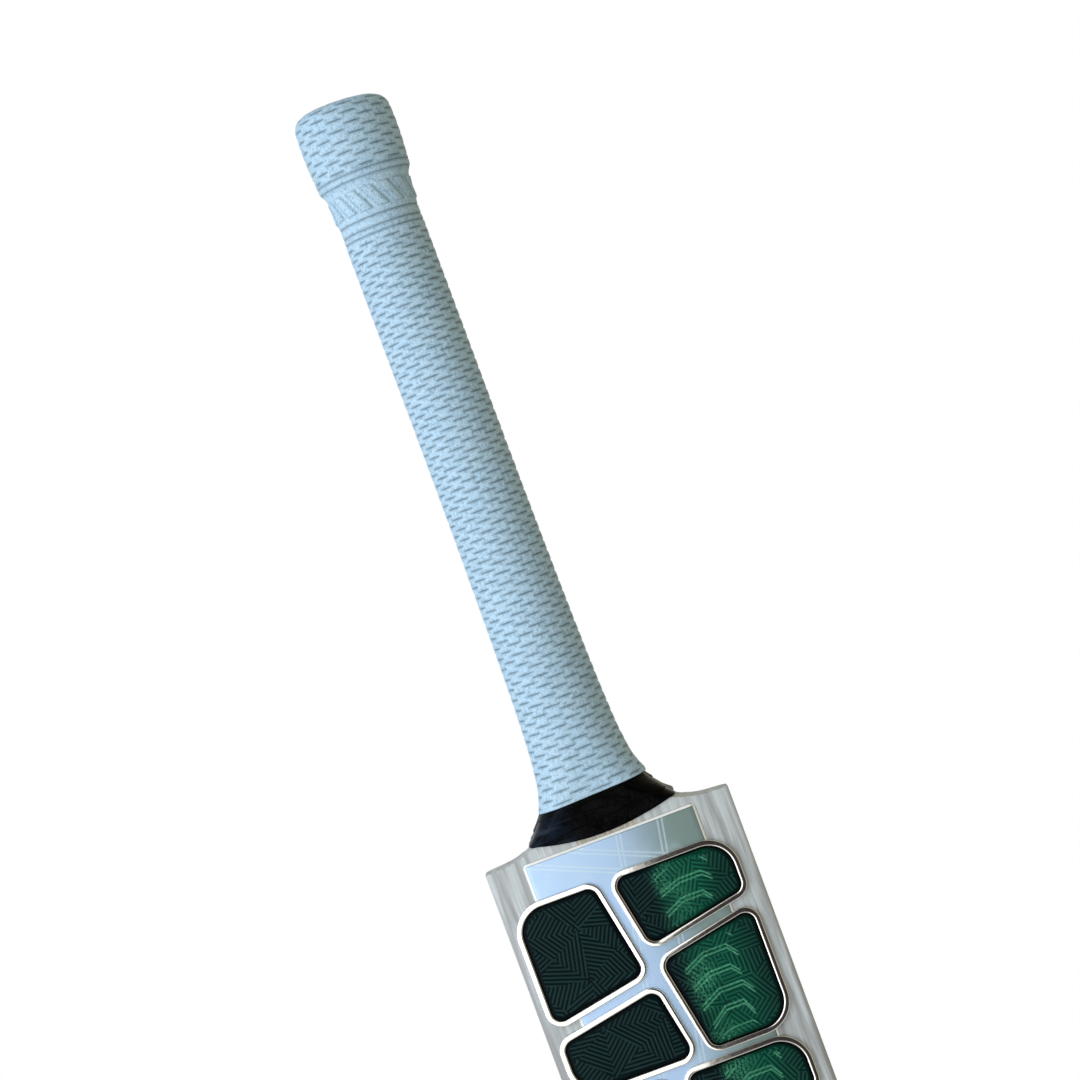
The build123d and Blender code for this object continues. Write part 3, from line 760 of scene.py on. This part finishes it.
def pearl_film():
    paint = Paint("pearl_film", Coat_Weight=0.3, Coat_Roughness=0.25)
    across, _, along = paint.axes()
    inset = paint.math_min(FILM_HALF_WIDTH - abs(across), FILM_TOP - along)
    framed = inset < FRAME_LINE
    slanted = printed_lines(across * FILM_SLANT + along, SLANTED_LINES)
    steep = printed_lines(along * FILM_STEEP_SLANT - across, STEEP_LINES)
    lines = paint.math_min(slanted + steep, 1)
    mottle = paint.noise(EVEN, scale=90, detail=3)
    fine = paint.noise(EVEN, scale=900)
    # Painted light and shade: lit blue at the left, turning to shaded grey-green towards the right.
    tone = paint.mix(across.ramp(*FILM_PAINTED_SHADE_FADE), FILM_LIT_BLUE, FILM_PAINTED_SHADE_GREEN)
    tone = paint.mix(lines * 0.55, tone, FILM_LINE)
    tone = paint.mix(mottle.ramp(0.45, 0.75) * 0.25, tone, FILM_LINE)
    tone = paint.mix((inset < FRAME_LINE + FRAME_SHADE_WIDTH) * 0.5, tone, FRAME_SHADE)
    tone = paint.mix(framed, tone, FRAME_SILVER)
    tone = paint.mix((inset < FRAME_SHADE_START) * 0.6, tone, FRAME_SHADE)
    height = lines * -0.5 + framed * 0.8 + fine * 0.12
    return paint.finish(
        Base_Color=tone,
        Metallic=(1 - framed) * 0.55,
        Roughness=fine * 0.12 + 0.34,
        Normal=paint.bump(height, FILM_RELIEF, 0.5),
    )


fit(face_film(), "base_sticker", pearl_film())

# BADGES -------------------------------------------------------------------------------------------
# Two raised badges on the face, one above the other. Each is four domed vinyl tiles with printed and
# embossed hatching, and every tile sits in a bright plated rim. Slanting channels part the tiles.

BADGE_MIDDLE_X = -1.5
BADGE_WIDTH = 97.5
BADGE_HEIGHT = 84.6
BADGE_TOPS = {"upper": -178, "lower": -264.5}
BADGE_CORNER = 14
TILE_CORNER = 7
CHANNEL_HALF_WIDTH = 1.7
CHANNEL_TILT = math.radians(11)
CHANNEL_STAGGER = 9
ARC_POINTS = 18
SIDE_POINTS = 40
RIM_WIDTH = 2.4
RIM_OUTER_EDGE = [(0, -SEAT_DEPTH), (0, 1.2), (0.02, 1.38), (0.07, 1.53), (0.15, 1.63), (0.28, 1.68)]
RIM_CROWN = [(0.8, 1.7), (1.25, 1.7), (1.8, 1.69), (2.1, 1.66)]
RIM_INNER_EDGE = [(2.23, 1.6), (2.32, 1.5), (2.38, 1.35), (RIM_WIDTH, 0.75), (RIM_WIDTH, -SEAT_DEPTH)]
PANEL_STEP = 0.36
PANEL_EDGE_CLEAR = 0.6
PANEL_GAP = 0.05
PANEL_HEIGHT = 0.95
PANEL_DOME = 0.25
PANEL_EDGE_ROLL = 0.25
MOULDING = (1.0, 1.7)
HATCH_PITCH = 1.7
HATCH_DEPTH = 0.22
HATCH_GROUND = 0.38
HATCH_FLANK = 0.35
HATCH_EASE = 0.4
HATCH_CELL = 17
HATCH_CELL_TURN = math.radians(24)
HATCH_SHEAR = (0.35, 0.12)
HATCH_TURN = 47
HATCH_STRAY = 9
HATCH_FIELDS = (8, 16)
STROKE_MIDDLE = 24
STROKE_LEVELS = np.arange(-38, 40, 8.2)
STROKE_REACHES = (9, 12)
STROKE_BENDS = (1.2, 2.8)
STROKE_GAP = 1.7
STROKE_HALF_WIDTH = 0.42
STROKE_FLANK = 0.3
STROKE_RELIEF = 0.12
STROKE_INSET = 3
STROKE_EASE = 1.5
STROKE_SEED = 50
OUTLINE_WIDTH = 0.7
OUTLINE_FADE = 0.5
GREEN_START = (7, 18)
GREEN_END = (26, 44)
GLITTER_GLINT_START = (8, 14)
GLITTER_GLINT_END = (17, 27)
RIM_RIPPLE_DEPTH = 0.0002
VINYL_GRAIN_DEPTH = 0.0001
CHROME = (0.90, 0.885, 0.87, 1)
PANEL_BLACK = (0.0018, 0.0062, 0.0085, 1)
PANEL_LINE = (0.016, 0.045, 0.047, 1)
PANEL_GREEN = (0.002, 0.046, 0.029, 1)
PANEL_GREEN_LINE = (0.014, 0.140, 0.090, 1)
PANEL_STROKE_AND_GLINT = (0.11, 0.45, 0.27, 1)
OUTLINE_BLACK = (0.0015, 0.002, 0.0025, 1)


def tile_sides(right, top):
    """The four sides of a tile as (outward direction, distance from the badge's middle)."""
    slope = np.array([math.cos(CHANNEL_TILT), math.sin(CHANNEL_TILT)])
    rise = np.array([-math.sin(CHANNEL_TILT), math.cos(CHANNEL_TILT)])
    hand, up = (1 if right else -1), (1 if top else -1)
    cross_point = np.array([hand * BADGE_WIDTH / 4, hand * CHANNEL_STAGGER])
    outer_side = (np.array([hand, 0.0]), BADGE_WIDTH / 2)
    end_side = (np.array([0.0, up]), BADGE_HEIGHT / 2)
    main_side = (-hand * slope, -CHANNEL_HALF_WIDTH)
    cross_side = (-up * rise, float(-up * rise @ cross_point) - CHANNEL_HALF_WIDTH)
    return [outer_side, end_side, main_side, cross_side]


def tile_corners(sides, inset):
    """Each rounded corner between two sides: its arc's centre, radius and two directions."""
    corners = []
    for index, radius in enumerate([BADGE_CORNER, TILE_CORNER, TILE_CORNER, TILE_CORNER]):
        (first, reach), (second, next_reach) = sides[index], sides[(index + 1) % 4]
        centre = np.linalg.solve(np.array([first, second]), [reach - radius, next_reach - radius])
        corners.append((centre, radius - inset, first, second))
    return corners


def tile_loop(sides, inset):
    """Points round a tile, at a distance inside its outline, as many for every distance."""
    arcs = []
    for centre, radius, first, second in tile_corners(sides, inset):
        start = math.atan2(first[1], first[0])
        swing = (math.atan2(second[1], second[0]) - start + math.pi) % (2 * math.pi) - math.pi
        angles = start + swing * np.linspace(0, 1, ARC_POINTS)
        arcs.append(centre + radius * np.stack([np.cos(angles), np.sin(angles)], -1))
    loop = []
    for arc, following in zip(arcs, arcs[1:] + arcs[:1]):
        share = np.linspace(0, 1, SIDE_POINTS)[1:-1, None]
        loop += [arc, arc[-1] + (following[0] - arc[-1]) * share]
    return np.concatenate(loop)


def tile_depth(sides, points):
    """How far each point lies inside the tile's outline."""
    depth = np.min([reach - points @ direction for direction, reach in sides], 0)
    for centre, radius, first, second in tile_corners(sides, 0):
        beyond = ((points - centre) @ first > 0) & ((points - centre) @ second > 0)
        depth = np.where(beyond, radius - np.linalg.norm(points - centre, axis=1), depth)
    return depth


def on_face(points, middle_z, height):
    """Badge points, set on the face of the blade at a height above it."""
    x, z = points[:, 0] + BADGE_MIDDLE_X, points[:, 1] + middle_z
    return np.stack([x, face_depth(x, z) - height, z], -1)


def tile_rim(name, sides, middle_z):
    profile = RIM_OUTER_EDGE + RIM_CROWN + RIM_INNER_EDGE
    rings = [on_face(tile_loop(sides, inset), middle_z, height) for inset, height in profile]
    return solid(name, np.concatenate(rings), sheet_faces(len(rings), len(rings[0]), True, True))


def hatching(points, seed):
    """Embossed lines in three-cornered fields, each field with its own direction."""
    random = np.random.RandomState(seed)
    strays = np.radians(random.uniform(-HATCH_STRAY, HATCH_STRAY, HATCH_FIELDS))
    turns = strays + random.uniform(0, math.pi)
    starts = random.uniform(0, 1, HATCH_FIELDS)
    cosine, sine = math.cos(HATCH_CELL_TURN), math.sin(HATCH_CELL_TURN)
    u = (points[:, 0] * cosine + points[:, 1] * sine) / HATCH_CELL
    v = (points[:, 1] * cosine - points[:, 0] * sine) / HATCH_CELL
    u, v = u + HATCH_SHEAR[0] * v, v - HATCH_SHEAR[1] * u
    column, row = np.floor(u).astype(int), np.floor(v).astype(int)
    local_u, local_v = u - column, v - row
    flipped = (column + row) % 2 == 0
    over = np.where(flipped, local_v > local_u, local_v > 1 - local_u).astype(int)
    field = column % HATCH_FIELDS[0], (row * 2 + over) % HATCH_FIELDS[1]
    angle = turns[field] + math.radians(HATCH_TURN) * (2 * column + 3 * row + 2 * over)
    swing = points[:, 0] * np.cos(angle) + points[:, 1] * np.sin(angle)
    wave = np.abs((swing / HATCH_PITCH + starts[field]) % 1 - 0.5) * 2
    return smoothstep((wave - HATCH_GROUND) / HATCH_FLANK)


def strokes(points, seed):
    """Thin bright lines: open angular brackets, one under another along the tile."""
    random = np.random.RandomState(seed)
    nearest = np.full(len(points), 9.0)
    for level in STROKE_LEVELS:
        middle = np.array([random.uniform(-1, 1), level])
        reach, bend = random.uniform(*STROKE_REACHES), random.uniform(*STROKE_BENDS)
        corners = [(-reach, -bend), (-reach * 0.2, bend), (reach * 0.7, bend), (reach, -bend)]
        chain = [middle + np.array(corner) for corner in corners]
        for gap in (0, STROKE_GAP):
            for first, second in zip(chain, chain[1:]):
                start, run = first + (0, gap), second - first
                share = np.clip(((points - start) @ run) / (run @ run), 0, 1)
                away = np.linalg.norm(points - start - share[:, None] * run, axis=1)
                nearest = np.minimum(nearest, away)
    return smoothstep((STROKE_HALF_WIDTH - nearest) / STROKE_FLANK)


def find_outline(points, loop):
    """The number of the point that lies on each point of the loop."""
    return [int(np.argmin(np.sum((points - corner) ** 2, 1))) for corner in loop]


def tile_net(sides, loop):
    """Flat points inside a loop and on it, and the faces between them."""
    low, high = loop.min(0), loop.max(0)
    columns, rows = np.arange(low[0], high[0], PANEL_STEP), np.arange(low[1], high[1], PANEL_STEP)
    lattice = np.stack(np.meshgrid(columns, rows), -1).reshape(-1, 2)
    lattice = lattice[tile_depth(sides, lattice) > RIM_WIDTH + PANEL_GAP + PANEL_STEP * PANEL_EDGE_CLEAR]
    edges = [(i, (i + 1) % len(loop)) for i in range(len(loop))]
    flat = [Vector(p) for p in np.concatenate([loop, lattice])]
    flat, _, faces, _, _, _ = delaunay_2d_cdt(flat, edges, [], 1, 1e-5)
    return np.array([tuple(p) for p in flat]), [list(f) for f in faces]


def tile_panel(name, sides, middle_z, right, seed):
    loop = tile_loop(sides, RIM_WIDTH + PANEL_GAP)
    points, faces = tile_net(sides, loop)
    depth = tile_depth(sides, points) - RIM_WIDTH
    hatch = hatching(points, seed) * smoothstep((depth - MOULDING[1]) / HATCH_EASE)
    spark = strokes(points - [STROKE_MIDDLE, 0], seed + STROKE_SEED) * right
    spark = spark * smoothstep((depth - STROKE_INSET) / STROKE_EASE)
    moulded = smoothstep((depth - MOULDING[0]) / (MOULDING[1] - MOULDING[0]))
    height = PANEL_HEIGHT + PANEL_DOME * moulded + HATCH_DEPTH * hatch + STROKE_RELIEF * spark
    height = height - PANEL_EDGE_ROLL * smoothstep(1 - depth / PANEL_EDGE_ROLL)
    outlined = 1 - smoothstep((depth - OUTLINE_WIDTH) / OUTLINE_FADE)
    front = on_face(points, middle_z, height)
    back = on_face(loop, middle_z, np.full(len(loop), -SEAT_DEPTH))
    outline, total, count = find_outline(points, loop), len(points), len(loop)
    for here in range(count):
        after = (here + 1) % count
        faces.append([outline[here], outline[after], total + after, total + here])
    faces.append([total + here for here in range(count)])
    marks = {
        "hatch": np.concatenate([hatch, np.zeros(count)]),
        "outline": np.concatenate([outlined, np.ones(count)]),
        "spark": np.concatenate([spark, np.zeros(count)]),
    }
    return solid(name, np.concatenate([front, back]), faces, marks)


def chrome():
    paint = Paint("plated_rim", Base_Color=CHROME, Metallic=1.0)
    scuffs = paint.noise(EVEN, scale=600, detail=3)
    ripple = paint.noise(EVEN, scale=60)
    height = ripple + scuffs * 0.04
    return paint.finish(Roughness=scuffs * 0.08 + 0.05, Normal=paint.bump(height, RIM_RIPPLE_DEPTH, 0.3))


def panel_vinyl(name, right):
    paint = Paint(name, Specular_IOR_Level=0.03)
    across, _, _ = paint.axes()
    hatch, spark = paint.attribute("hatch"), paint.attribute("spark")
    cloud = paint.noise(EVEN, scale=75, detail=2)
    ground, line = PANEL_BLACK, PANEL_LINE
    if right:
        glow = across.ramp(*GREEN_START) * (1 - across.ramp(*GREEN_END) * 0.75) * (cloud * 0.8 + 0.55)
        ground = paint.mix(glow, PANEL_BLACK, PANEL_GREEN)
        line = paint.mix(glow, PANEL_LINE, PANEL_GREEN_LINE)
    tone = paint.mix(hatch * (cloud * 0.5 + 0.6), ground, line)
    if right:
        # Painted glints: bright glitter specks in a band across the green tile and over its strokes stand for
        # sparkle catching the light.
        glint_speckle = paint.noise(EVEN, scale=1300, detail=2).ramp(0.46, 0.62)
        painted_glints = across.ramp(*GLITTER_GLINT_START) * (1 - across.ramp(*GLITTER_GLINT_END)) * glint_speckle * cloud.ramp(0.4, 0.6)
        tone = paint.mix(painted_glints * 0.4, tone, PANEL_STROKE_AND_GLINT)
        tone = paint.mix(spark * (glint_speckle * 0.35 + 0.55), tone, PANEL_STROKE_AND_GLINT)
    tone = paint.mix(paint.attribute("outline"), tone, OUTLINE_BLACK)
    grain = paint.noise(EVEN, scale=1100)
    rough = grain * 0.15 + 0.30 - hatch * 0.05
    return paint.finish(
        Base_Color=tone, Roughness=rough, Normal=paint.bump(grain, VINYL_GRAIN_DEPTH, 0.3)
    )


rim_material = chrome()
panel_materials = {False: panel_vinyl("dark_vinyl", False), True: panel_vinyl("green_vinyl", True)}
seed = 0
for badge, badge_top in BADGE_TOPS.items():
    badge_middle = badge_top - BADGE_HEIGHT / 2
    for row, top in (("top", True), ("bottom", False)):
        for hand, right in (("left", False), ("right", True)):
            sides = tile_sides(right, top)
            seed += 1
            rim = tile_rim(f"{badge}_plated_rim_{row}_{hand}", sides, badge_middle)
            fit(rim, f"{badge}_badge_rim_{row}_{hand}", rim_material)
            panel = tile_panel(f"{badge}_vinyl_panel_{row}_{hand}", sides, badge_middle, right, seed)
            fit(panel, f"{badge}_badge_panel_{row}_{hand}", panel_materials[right])

# BACK AND EDGE STICKERS ---------------------------------------------------------------------------
# Printed films, pressed over the ridge of the back and along the middle of each edge.
# Each has a silver line inside its border and pale slanting stripes on green that darkens.

BACK_PALE = (0.60, 0.72, 0.80, 1)
BACK_DARK = (0.010, 0.022, 0.026, 1)
BACK_GREEN = (0.012, 0.105, 0.070, 1)
BACK_MIDDLE = -328
BACK_HALF_LENGTH = 105
BACK_HALF_WIDTH = 33
BACK_BORDER = 2.0
EDGE_MIDDLE = -471
EDGE_HALF_LENGTH = 95
EDGE_BORDER = 1.5
STRIPE_PITCH = 30
STRIPE_SLANT = 0.5
STRIPE_START = 0.82
BORDER_LINE = 1.2
PRINT_RELIEF = 0.00008


def printed_film(name, border, middle, half_length, half_width):
    paint = Paint(name, Coat_Weight=0.4, Coat_Roughness=0.15)
    across, _, along = paint.axes()
    slanted = along + abs(across) * STRIPE_SLANT
    stripe = paint.node("Math", {"operation": "PINGPONG"}, [slanted / STRIPE_PITCH, 0.5]) * 2
    inset = half_length - abs(along - middle)
    if half_width:
        inset = paint.math_min(inset, half_width - abs(across))
    framed = (inset > border) * (inset < border + BORDER_LINE)
    fade = (along - middle).ramp(-half_length, half_length)
    tone = paint.mix(fade, BACK_GREEN, BACK_DARK)
    tone = paint.mix((stripe > STRIPE_START) * 0.8, tone, BACK_PALE)
    tone = paint.mix(framed, tone, FRAME_SILVER)
    grain = paint.noise(EVEN, scale=900)
    return paint.finish(
        Base_Color=tone, Roughness=grain * 0.14 + 0.24, Normal=paint.bump(grain + framed, PRINT_RELIEF, 0.4)
    )


back_material = printed_film("back_film", BACK_BORDER, BACK_MIDDLE, BACK_HALF_LENGTH, BACK_HALF_WIDTH)
dress("back_sticker", back_material)
edge_material = printed_film("edge_film", EDGE_BORDER, EDGE_MIDDLE, EDGE_HALF_LENGTH, 0)
dress("edge_sticker_left", edge_material)
dress("edge_sticker_right", edge_material)

# STUDIO -------------------------------------------------------------------------------------------
# A pale floor under the toe, a broad soft light in front at the left, and a strip light beside it.
# The surroundings are cool at the left and dim and warm at the right, where a dark flag stands in
# front, so that the plated rims turn dark there. The camera sees plain white behind the bat.

ROLL = math.radians(20.4)
CAMERA_PLACE = (0.0161, -1.2365, -0.0386)
CAMERA_LENS = 98.5
SENSOR_WIDTH = 36
FLOOR_HALF = 1.1
FLOOR_GREY = (0.78, 0.79, 0.80, 1)
SKY_REACH = 750
FLAG_LEFT = (-5, 25)
FLAG_RIGHT = (330, 450)
FLAG_FRONT = -600
SKY_LEFT = (0.66, 0.675, 0.68, 1)
SKY_RIGHT = (0.44, 0.40, 0.27, 1)
SKY_FLAG = (0.035, 0.03, 0.03, 1)
SKY_BACKDROP = (1, 1, 1, 1)
SOFT_BOX_COLOUR = (0.97, 0.99, 1.0)
SOFT_BOXES = {
    "front_card": ((-0.42, -1.62, -0.28), (0.84, 1.5), 4.4, 0),
    "side_strip": ((-0.30, -0.30, 0.02), (0.20, 0.80), 1.35, -45),
}

bpy.context.scene.view_settings.view_transform = "Standard"

camera = bpy.data.objects.new("camera", bpy.data.cameras.new("camera"))
right_axis = Vector((math.cos(ROLL), 0, -math.sin(ROLL)))
up_axis = Vector((math.sin(ROLL), 0, math.cos(ROLL)))
placement = Matrix((right_axis, up_axis, Vector((0, -1, 0)))).transposed().to_4x4()
placement.translation = Vector(CAMERA_PLACE)
camera.matrix_world = placement
camera.data.lens = CAMERA_LENS
camera.data.sensor_width = SENSOR_WIDTH
bpy.context.scene.collection.objects.link(camera)
bpy.context.scene.camera = camera

floor_mesh = bpy.data.meshes.new("floor")
floor_height = cad_bounds[0][2]
corners = [(-1, -1), (1, -1), (1, 1), (-1, 1)]
floor_points = [(x * FLOOR_HALF, y * FLOOR_HALF, floor_height) for x, y in corners]
floor_mesh.from_pydata(floor_points, [], [(0, 1, 2, 3)])
floor = bpy.data.objects.new("floor", floor_mesh)
bpy.context.scene.collection.objects.link(floor)
floor_paint = Paint("pale_floor", Base_Color=FLOOR_GREY, Roughness=0.9)
floor_mesh.materials.append(floor_paint.material)

for name, (place, size, power, heading) in SOFT_BOXES.items():
    soft_box = bpy.data.objects.new(name, bpy.data.lights.new(name, "AREA"))
    soft_box.data.shape = "RECTANGLE"
    soft_box.data.size, soft_box.data.size_y = size
    soft_box.data.energy = power
    soft_box.data.color = SOFT_BOX_COLOUR
    soft_box.location = place
    soft_box.rotation_euler = (math.radians(90), 0, math.radians(heading))
    soft_box.visible_camera = False
    bpy.context.scene.collection.objects.link(soft_box)

sky = Paint("studio", bpy.data.worlds, "Background", "Generated")
across, depth, _ = sky.axes()
light = sky.mix(across.ramp(-SKY_REACH, SKY_REACH), SKY_LEFT, SKY_RIGHT)
flag = across.ramp(*FLAG_LEFT) * (1 - across.ramp(*FLAG_RIGHT)) * (depth < FLAG_FRONT)
light = sky.mix(flag, light, SKY_FLAG)
seen = sky.node("LightPath", output="Is Camera Ray")
bpy.context.scene.world = sky.finish(Color=sky.mix(seen, light, SKY_BACKDROP))
